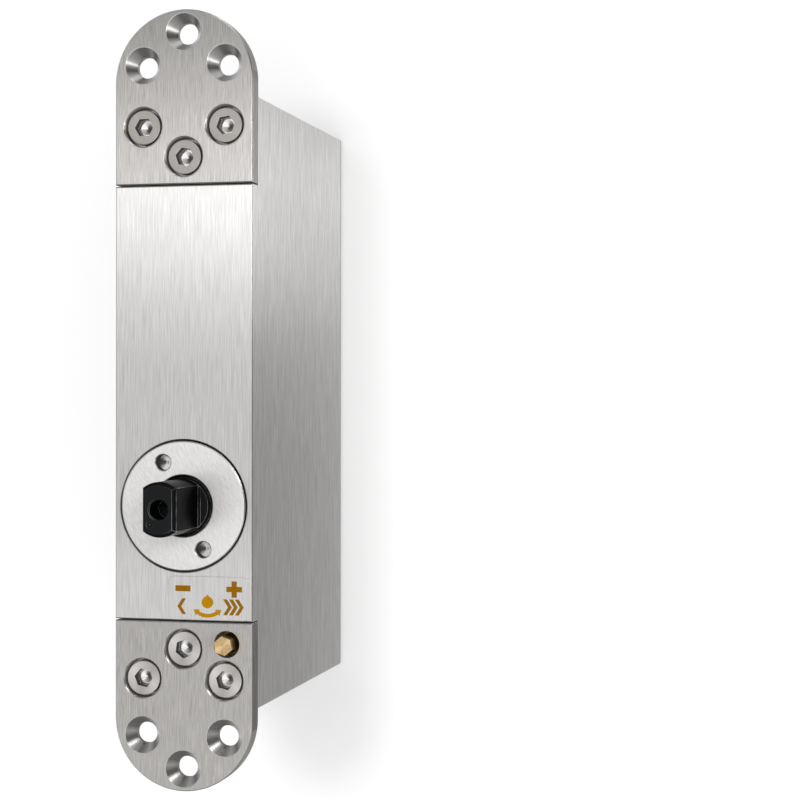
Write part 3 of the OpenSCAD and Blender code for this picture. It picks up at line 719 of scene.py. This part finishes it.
# %% [markdown]
# ## Socket screws
#
# The screws are plain stainless steel, a little warmer than the plates, with a finely turned and
# tumbled head. The three of a set share one mesh, so each point takes its direction and distance from
# the axis whose head it lies on, and those draw the rings and the painted wedges of highlight. The rim
# of each head gets a painted highlight too.

# %% Screw axes
HEAD_RADIUS = 5.0 * MM
HEAD_MARGIN = 1.1


def screw_axes(node):
    low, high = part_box(node)
    side = high.x - HEAD_RADIUS
    inner, outer = (low.y + HEAD_RADIUS, high.y - HEAD_RADIUS)
    if abs(inner) < abs(outer):
        return [(0.0, inner), (side, outer), (-side, outer)]
    return [(0.0, outer), (side, inner), (-side, inner)]


def from_nearest(tree, vector, axes):
    flat = vector_node(tree, "MULTIPLY", vector, (1, 1, 0))
    outward = (0.0, 0.0, 0.0)
    for x, y in axes:
        away = vector_node(tree, "SUBTRACT", flat, (x, y, 0))
        near = math_node(tree, "LESS_THAN", vector_node(tree, "LENGTH", away), HEAD_MARGIN * HEAD_RADIUS)
        outward = vector_node(tree, "ADD", vector_node(tree, "MULTIPLY", away, near), outward)
    return outward


print("upper screws", screw_axes("upper_plate_screws"))

# %% [markdown]
# The hexagon socket is punched, so its floor is smooth. Its floor is painted bright as a highlight and
# its walls are painted dark as shade, and the walls stop being metal. The height and the distance from
# the axis find the socket, and the normal tells its walls from its floor.

# %% Sockets
HEAD_TOP = -0.8 * MM
SOCKET_RADIUS = 3.1 * MM
SOCKET_START = 0.05 * MM
SOCKET_FULL = 0.15 * MM
WALL_UPRIGHT = (0.6, 0.3)
WALL_SHADE_LEVEL = 0.9


def socket_masks(tree, depth, distance):
    inside = spread(tree, depth, HEAD_TOP - SOCKET_START, HEAD_TOP - SOCKET_FULL)
    inside = math_node(tree, "MULTIPLY", inside, math_node(tree, "LESS_THAN", distance, SOCKET_RADIUS))
    upright = split(tree, coordinates(tree, "Normal"))["Z"]
    wall = math_node(tree, "MULTIPLY", inside, spread(tree, upright, *WALL_UPRIGHT))
    return inside, math_node(tree, "MULTIPLY", wall, WALL_SHADE_LEVEL)


print("sockets from", round(HEAD_TOP / MM, 2), "mm down")

# %% Screw steel
HEAD_PITCH = 0.16
HEAD_EDGE = 0.2
HEAD_REACH = 0.3
HEAD_BUMP = 0.003
HEAD_SPECKLE = 5200.0
RING_SHARE = 0.45
SPECKLE_SHARE = 0.55
HEAD_RANGE = (0.25, 0.75)
HEAD_ROUGHNESS = (0.58, 0.48)
HEAD_DARK = grey(0.40, 0.05)
HEAD_LIGHT = grey(0.56, 0.05)
HEAD_HIGHLIGHT = grey(0.78, 0.03)
HEAD_RIM_HIGHLIGHT = grey(0.9, 0.02)
SOCKET_FLOOR_HIGHLIGHT = grey(0.7, 0.02)
SOCKET_WALL_SHADE = grey(0.04, 0.1)
SOCKET_POLISH = 0.28
UPPER_HEADS = [(150, 70, 70, 0.12), (330, 40, 40, 0.12)]
LOWER_HEADS = [(150, 110, 110, 1.0), (330, 70, 70, 0.8)]


def screw_steel(name, axes, heads):
    material, tree, surface = start_material(name)
    vector = coordinates(tree, "Object")
    outward = from_nearest(tree, vector, axes)
    distance = vector_node(tree, "LENGTH", outward)
    turned = place_group(tree, rings, Distance=distance, Pitch=HEAD_PITCH)["Rings"]
    speckle = noise(tree, vector, HEAD_SPECKLE, detail=3.0)
    speckled = math_node(tree, "MULTIPLY", speckle, SPECKLE_SHARE)
    shade = math_node(tree, "MULTIPLY_ADD", turned, RING_SHARE, speckled)
    edge = place_group(tree, edges, Radius=HEAD_EDGE)
    painted_edge_highlight = math_node(tree, "MULTIPLY", edge["Edge"], EDGE_HIGHLIGHT_SHARE)
    inside, wall = socket_masks(tree, split(tree, vector)["Z"], distance)

    color = blend_colors(tree, spread(tree, shade, *HEAD_RANGE), HEAD_DARK, HEAD_LIGHT)
    # painted highlight wedges on the head
    color = blend_colors(tree, wedges(tree, outward, speckle, heads), color, HEAD_HIGHLIGHT)
    # painted highlight on the rim of each head
    color = blend_colors(tree, painted_edge_highlight, color, HEAD_RIM_HIGHLIGHT)
    # painted highlight on the socket floor, painted shade on its walls
    color = blend_colors(tree, inside, color, SOCKET_FLOOR_HIGHLIGHT)
    color = blend_colors(tree, wall, color, SOCKET_WALL_SHADE)
    rough = spread(tree, shade, *SHADE_RANGE, *HEAD_ROUGHNESS)
    set_inputs(
        tree, surface,
        Base_Color=paint_crevice_shade(tree, color, HEAD_REACH),
        Roughness=math_node(tree, "MULTIPLY_ADD", inside, -SOCKET_POLISH, rough),
        Metallic=math_node(tree, "SUBTRACT", 1.0, wall),
        Specular_IOR_Level=0.0,
        Normal=add_bump(tree, shade, HEAD_BUMP, edge["Normal"]))
    return material


upper_screw_steel = screw_steel("upper_screw_steel", screw_axes("upper_plate_screws"), UPPER_HEADS)
lower_screw_steel = screw_steel("lower_screw_steel", screw_axes("lower_plate_screws"), LOWER_HEADS)
print("made", upper_screw_steel.name, lower_screw_steel.name)

# %% [markdown]
# ## Black spindle
#
# The spindle is hardened and blackened. The black is thin and satin, with a faint blotch of oil. Its tip
# and shoulders face up and are painted a shade lighter than its sides, as painted light. The edges on the
# +X side get a painted highlight, broken up by the blotch, which the bent normal of the edge group picks
# out.

# %% Spindle black
BLOTCH_SCALE = 260.0
FINE_SCALE = 3400.0
SPINDLE_EDGE = 0.18
SPINDLE_BUMP = 0.004
HIGHLIGHT_BLOTCH = (0.4, 0.6, 0.25, 1.0)
HIGHLIGHT_SIDE = (0.1, 0.5, 0.08, 1.0)
FACE_UPRIGHT = (0.6, 0.9)
SATIN = (0.3, 0.7, 0.30, 0.20)
SIDE_BLACKS = (grey(0.001, -0.05), grey(0.004, -0.05))
LIT_TOP_BLACKS = (grey(0.010, -0.05), grey(0.016, -0.05))
SPINDLE_EDGE_HIGHLIGHT = grey(0.85)

spindle_black, tree, surface = start_material("black_spindle")
vector = coordinates(tree, "Object")
blotch = noise(tree, vector, BLOTCH_SCALE, detail=4.0)
fine = noise(tree, vector, FINE_SCALE)
edge = place_group(tree, edges, Radius=SPINDLE_EDGE)
bent_x = split(tree, edge["Normal"])["X"]
# painted highlight on the edges that face +X
painted_edge_highlight = math_node(tree, "MULTIPLY", edge["Edge"], spread(tree, blotch, *HIGHLIGHT_BLOTCH))
painted_edge_highlight = math_node(tree, "MULTIPLY", painted_edge_highlight, spread(tree, bent_x, *HIGHLIGHT_SIDE))
upright = split(tree, coordinates(tree, "Normal"))["Z"]
sides = blend_colors(tree, blotch, *SIDE_BLACKS)
faces = blend_colors(tree, blotch, *LIT_TOP_BLACKS)
# painted light: faces that look up are lighter than the sides
color = blend_colors(tree, spread(tree, upright, *FACE_UPRIGHT), sides, faces)
set_inputs(
    tree, surface,
    Base_Color=blend_colors(tree, painted_edge_highlight, color, SPINDLE_EDGE_HIGHLIGHT),
    Roughness=spread(tree, blotch, *SATIN),
    Specular_IOR_Level=0.009,
    Normal=add_bump(tree, fine, SPINDLE_BUMP, edge["Normal"]))
print("made", spindle_black.name)

# %% [markdown]
# ## Brass, bronze and the hidden pieces
#
# The speed valve is turned brass, and its face gets two painted wedges of highlight. The bushes are
# sintered bronze, which is full of tiny pores. The pieces inside the block are turned steel, ground
# bearing steel, spring wire and black rubber. They show only when the unit is opened, but each has its own
# finish. One speckle noise with its own scale serves all the metals, and each gets a painted highlight
# along its edges and painted shade in its crevices.

# %% Metals with speckle
VALVE_HIGHLIGHTS = [(35, 40, 40, 0.9), (215, 50, 50, 1.0)]
SPECKLE_RANGE = (0.3, 0.7)
SPECKLE_SWING = 0.05
SPECKLE_BUMP = 0.002
METAL_EDGE = 0.2
METAL_EDGE_SHARE = 0.5
METAL_REACH = 3.0
PALER = 1.25


def speckled_metal(name, dark, light, roughness, scale, axis=None):
    material, tree, surface = start_material(name)
    vector = coordinates(tree, "Object")
    speckle = noise(tree, vector, scale, detail=4.0)
    edge = place_group(tree, edges, Radius=METAL_EDGE)
    color = blend_colors(tree, spread(tree, speckle, *SPECKLE_RANGE), dark, light)
    pale = tuple(min(1.0, PALER * part) for part in light)
    if axis is not None:
        outward = vector_node(tree, "SUBTRACT", vector, axis)
        # painted highlight wedges on the valve face
        color = blend_colors(tree, wedges(tree, outward, speckle, VALVE_HIGHLIGHTS), color, pale)
    painted_edge_highlight = math_node(tree, "MULTIPLY", edge["Edge"], METAL_EDGE_SHARE)
    # painted highlight along the edges
    color = blend_colors(tree, painted_edge_highlight, color, pale)
    rough, smooth = roughness + SPECKLE_SWING, roughness - SPECKLE_SWING
    set_inputs(
        tree, surface,
        Base_Color=paint_crevice_shade(tree, color, METAL_REACH),
        Roughness=spread(tree, speckle, *SPECKLE_RANGE, rough, smooth),
        Metallic=1.0,
        Normal=add_bump(tree, speckle, SPECKLE_BUMP, edge["Normal"]))
    return material


valve_axis = joints["speed_valve_turn"]["pos_m"]
valve_brass = speckled_metal(
    "valve_brass", dark=(0.50, 0.33, 0.14, 1), light=(0.74, 0.54, 0.29, 1), roughness=0.34, scale=1500.0,
    axis=valve_axis)
bush_bronze = speckled_metal(
    "bush_bronze", dark=(0.40, 0.24, 0.10, 1), light=(0.58, 0.38, 0.18, 1), roughness=0.45, scale=4200.0)
bearing_steel = speckled_metal(
    "bearing_steel", dark=grey(0.70), light=grey(0.80), roughness=0.16, scale=3000.0)
machined_steel = speckled_metal(
    "machined_steel", dark=grey(0.46), light=grey(0.58), roughness=0.34, scale=2400.0)
spring_steel = speckled_metal(
    "spring_steel", dark=grey(0.12), light=grey(0.20), roughness=0.38, scale=1800.0)
print("made", valve_brass.name, bush_bronze.name, machined_steel.name)

# %% Rubber
DUST_SCALE = 2200.0
RUBBER_BUMP = 0.01
RUBBER_BLACKS = (grey(0.018), grey(0.04))
RUBBER_ROUGHNESS = (0.7, 0.55)

black_rubber, tree, surface = start_material("black_rubber")
dust = noise(tree, coordinates(tree, "Object"), DUST_SCALE, detail=4.0)
plain_normal = add_node(tree, "NewGeometry").outputs["Normal"]
set_inputs(
    tree, surface,
    Base_Color=blend_colors(tree, dust, *RUBBER_BLACKS),
    Roughness=spread(tree, dust, *SPECKLE_RANGE, *RUBBER_ROUGHNESS),
    Normal=add_bump(tree, dust, RUBBER_BUMP, plain_normal))
print("made", black_rubber.name)

# %% [markdown]
# ## Giving the solids their finish
#
# The record names a material slot for every solid, and each slot has one finish here. The screws and
# the plates are the exception: their rings and wedges need the axes and the light of their own end.

# %% Assign finishes
FINISHES = {
    "brushed_block": block_steel,
    "gland_steel": gland_steel,
    "black_spindle": spindle_black,
    "valve_brass": valve_brass,
    "bush_bronze": bush_bronze,
    "bearing_steel": bearing_steel,
    "machined_steel": machined_steel,
    "spring_steel": spring_steel,
    "black_rubber": black_rubber,
    "screw_steel": machined_steel,
}
OWN_FINISH = {
    "upper_plate_screws": upper_screw_steel,
    "lower_plate_screws": lower_screw_steel,
    "upper_end_plate": plate_steel["upper_end_plate"],
    "lower_end_plate": plate_steel["lower_end_plate"],
}

for part in frame["record"]["subparts"]:
    mesh = nodes[part["node"]].data
    mesh.materials.clear()
    mesh.materials.append(OWN_FINISH.get(part["node"], FINISHES.get(part["material_slot"])))

# %% [markdown]
# ## The speed label
#
# A clear film with rounded corners carries the signs for the speed valve: a plus, a minus, a dot with
# a pointer, an arc with an arrow head at each end, and chevrons for slow and fast. Each sign starts as
# a flat face and is raised by a few hundredths of a millimetre, as thick ink is.

# %% Label helpers
FILM_TOP = 0.04 * MM
INK_TOP = 0.07 * MM


def finish_piece(mesh, name, material):
    bmesh.ops.recalc_face_normals(mesh, faces=mesh.faces)
    data = bpy.data.meshes.new(name)
    mesh.to_mesh(data)
    mesh.free()
    data.materials.append(material)
    piece = bpy.data.objects.new(name, data)
    bpy.context.scene.collection.objects.link(piece)
    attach(piece, "housing")
    print(name, "faces", len(data.polygons))
    return piece


def flat_face(mesh, corners, height):
    mesh.faces.new([mesh.verts.new((x * MM, y * MM, height)) for x, y in corners])


def raise_faces(mesh, rise):
    made = bmesh.ops.extrude_face_region(mesh, geom=list(mesh.faces))
    top = [part for part in made["geom"] if isinstance(part, bmesh.types.BMVert)]
    bmesh.ops.translate(mesh, verts=top, vec=(0, 0, rise))


print("ink stands", round((INK_TOP - FILM_TOP) / MM, 3), "mm above the film")

# %% [markdown]
# The film is clear, and what one sees of it is the block's own steel, a touch duller, and a fine line
# at its border. Real transparency would cost many light paths for no gain, so the film is a solid
# sheet with that steel as its finish.

# %% Film
FILM = (-4.7, 20.2, -33.1, -20.4)
FILM_CORNER = 2.0

film_steel = brushed_steel(
    "label_film", dark=grey(0.61, 0.02), light=grey(0.82, 0.02), roughness=0.38)
left, right, bottom, top = FILM
film = bmesh.new()
flat_face(film, [(left, bottom), (right, bottom), (right, top), (left, top)], 0.0)
bmesh.ops.bevel(
    film, geom=list(film.verts), offset=FILM_CORNER * MM, segments=8, profile=0.5,
    affect="VERTICES", material=-1)
raise_faces(film, FILM_TOP)
finish_piece(film, "speed_label", film_steel)

# %% [markdown]
# The signs are printed in two inks, a brown ochre and a gold. Ink lies unevenly, so a soft mottle
# darkens it in places, and it hardly mirrors anything.

# %% Ink
MOTTLE_SCALE = 1500.0
MOTTLE_DARKENING = 0.82
INK_ROUGHNESS = (0.5, 0.4)


def ink(name, color):
    material, tree, surface = start_material(name)
    mottle = noise(tree, coordinates(tree, "Object"), MOTTLE_SCALE, detail=3.0)
    darker = tuple(MOTTLE_DARKENING * part for part in color[:3]) + (1.0,)
    set_inputs(
        tree, surface,
        Base_Color=blend_colors(tree, spread(tree, mottle, *SPECKLE_RANGE), darker, color),
        Roughness=spread(tree, mottle, *SPECKLE_RANGE, *INK_ROUGHNESS),
        Specular_IOR_Level=0.05)
    return material


ochre_ink = ink("ochre_ink", (0.27, 0.12, 0.002, 1.0))
gold_ink = ink("gold_ink", (0.45, 0.215, 0.001, 1.0))
print("inks", ochre_ink.name, gold_ink.name)

# %% [markdown]
# The plus, the minus and the chevrons have straight sides, so each is one flat face given by its
# corners. All of them are raised together and make one piece.

# %% Plus, minus and chevrons
SIGN_Y = -24.0
PLUS_X = 15.5
PLUS_REACH = 2.35
PLUS_ARM = 0.78
MINUS = (-2.4, 2.2)
MINUS_HALF = 0.85
CHEVRON_Y = -29.2
CHEVRON_HALF = 2.3
CHEVRON_POINT = 1.5
CHEVRON_WIDTH = 1.15
SLOW_CHEVRONS = [-0.3]
FAST_CHEVRONS = [13.3, 15.1, 16.9]

signs = bmesh.new()
arm, reach = PLUS_ARM, PLUS_REACH
plus = [
    (reach, -arm), (reach, arm), (arm, arm), (arm, reach), (-arm, reach), (-arm, arm),
    (-reach, arm), (-reach, -arm), (-arm, -arm), (-arm, -reach), (arm, -reach), (arm, -arm),
]
flat_face(signs, [(PLUS_X + x, SIGN_Y + y) for x, y in plus], FILM_TOP)
low, high = SIGN_Y - MINUS_HALF, SIGN_Y + MINUS_HALF
flat_face(signs, [(MINUS[0], low), (MINUS[1], low), (MINUS[1], high), (MINUS[0], high)], FILM_TOP)
low, high = CHEVRON_Y - CHEVRON_HALF, CHEVRON_Y + CHEVRON_HALF
for start, way in [(x, -1) for x in SLOW_CHEVRONS] + [(x, 1) for x in FAST_CHEVRONS]:
    tip = start + way * CHEVRON_POINT
    back = -way * CHEVRON_WIDTH
    flat_face(signs, [
        (start, low), (tip, CHEVRON_Y), (start, high),
        (start + back, high), (tip + back, CHEVRON_Y), (start + back, low)], FILM_TOP)
raise_faces(signs, INK_TOP - FILM_TOP)
finish_piece(signs, "speed_signs", ochre_ink)

# %% [markdown]
# The dot is a circle with a small pointer on top. The arc below it is a short line that spin sweeps
# about a centre, and a triangle at each end makes the arrow heads.

# %% Dot and arc arrow
DOT = (7.4, -27.9)
DOT_RADIUS = 1.75
POINTER_RISE = 0.6
POINTER_HALF = 0.5
POINTER_SINK = 0.05
ARC_CENTRE = Vector((7.4, -26.5))
ARC_RADIUS = 5.3
ARC_WIDTH = 1.1
ARC_SPREAD = math.radians(68)
HEAD_HALF = 1.1
HEAD_LENGTH = 1.5

arrow = bmesh.new()
bmesh.ops.create_circle(arrow, cap_ends=True, segments=40, radius=DOT_RADIUS * MM)
bmesh.ops.translate(arrow, verts=arrow.verts, vec=(DOT[0] * MM, DOT[1] * MM, FILM_TOP))
foot = DOT[1] + DOT_RADIUS - POINTER_SINK
flat_face(arrow, [
    (DOT[0] - POINTER_HALF, foot), (DOT[0] + POINTER_HALF, foot), (DOT[0], foot + POINTER_RISE)], FILM_TOP)
start_angle = -math.pi / 2 - ARC_SPREAD / 2
start_way = Vector((math.cos(start_angle), math.sin(start_angle)))
line_ends = []
for radius in (ARC_RADIUS - ARC_WIDTH / 2, ARC_RADIUS + ARC_WIDTH / 2):
    x, y = ARC_CENTRE + radius * start_way
    line_ends.append(arrow.verts.new((x * MM, y * MM, FILM_TOP)))
bmesh.ops.spin(
    arrow, geom=line_ends + [arrow.edges.new(line_ends)], axis=(0, 0, 1),
    cent=(ARC_CENTRE.x * MM, ARC_CENTRE.y * MM, FILM_TOP), angle=ARC_SPREAD, steps=24, use_merge=False)
for side in (-1, 1):
    angle = -math.pi / 2 + side * ARC_SPREAD / 2
    out = Vector((math.cos(angle), math.sin(angle)))
    ahead = Vector((-math.sin(angle), math.cos(angle))) * side
    centre = ARC_CENTRE + out * ARC_RADIUS
    flat_face(arrow, [
        centre - out * HEAD_HALF, centre + out * HEAD_HALF, centre + ahead * HEAD_LENGTH], FILM_TOP)
bmesh.ops.recalc_face_normals(arrow, faces=arrow.faces)
raise_faces(arrow, INK_TOP - FILM_TOP)
finish_piece(arrow, "speed_arrow", gold_ink)

# %% [markdown]
# ## The return spring
#
# The spring lies between its piston and a fixed seat, and it shortens when the spindle turns. A solid
# of the imported model is rigid. Here a copy of it, with doubled points merged and faces smooth, stands
# in its place, and it is as rigid as the solid.

# %% Return spring
MERGE_DISTANCE = 0.001 * MM

low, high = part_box("return_spring")
coil = bmesh.new()
coil.from_mesh(nodes["return_spring"].data)
bmesh.ops.remove_doubles(coil, verts=coil.verts, dist=MERGE_DISTANCE)
for face in coil.faces:
    face.smooth = True
spring = finish_piece(coil, "return_spring_coil", spring_steel)
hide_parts("return_spring")
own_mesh(spring)
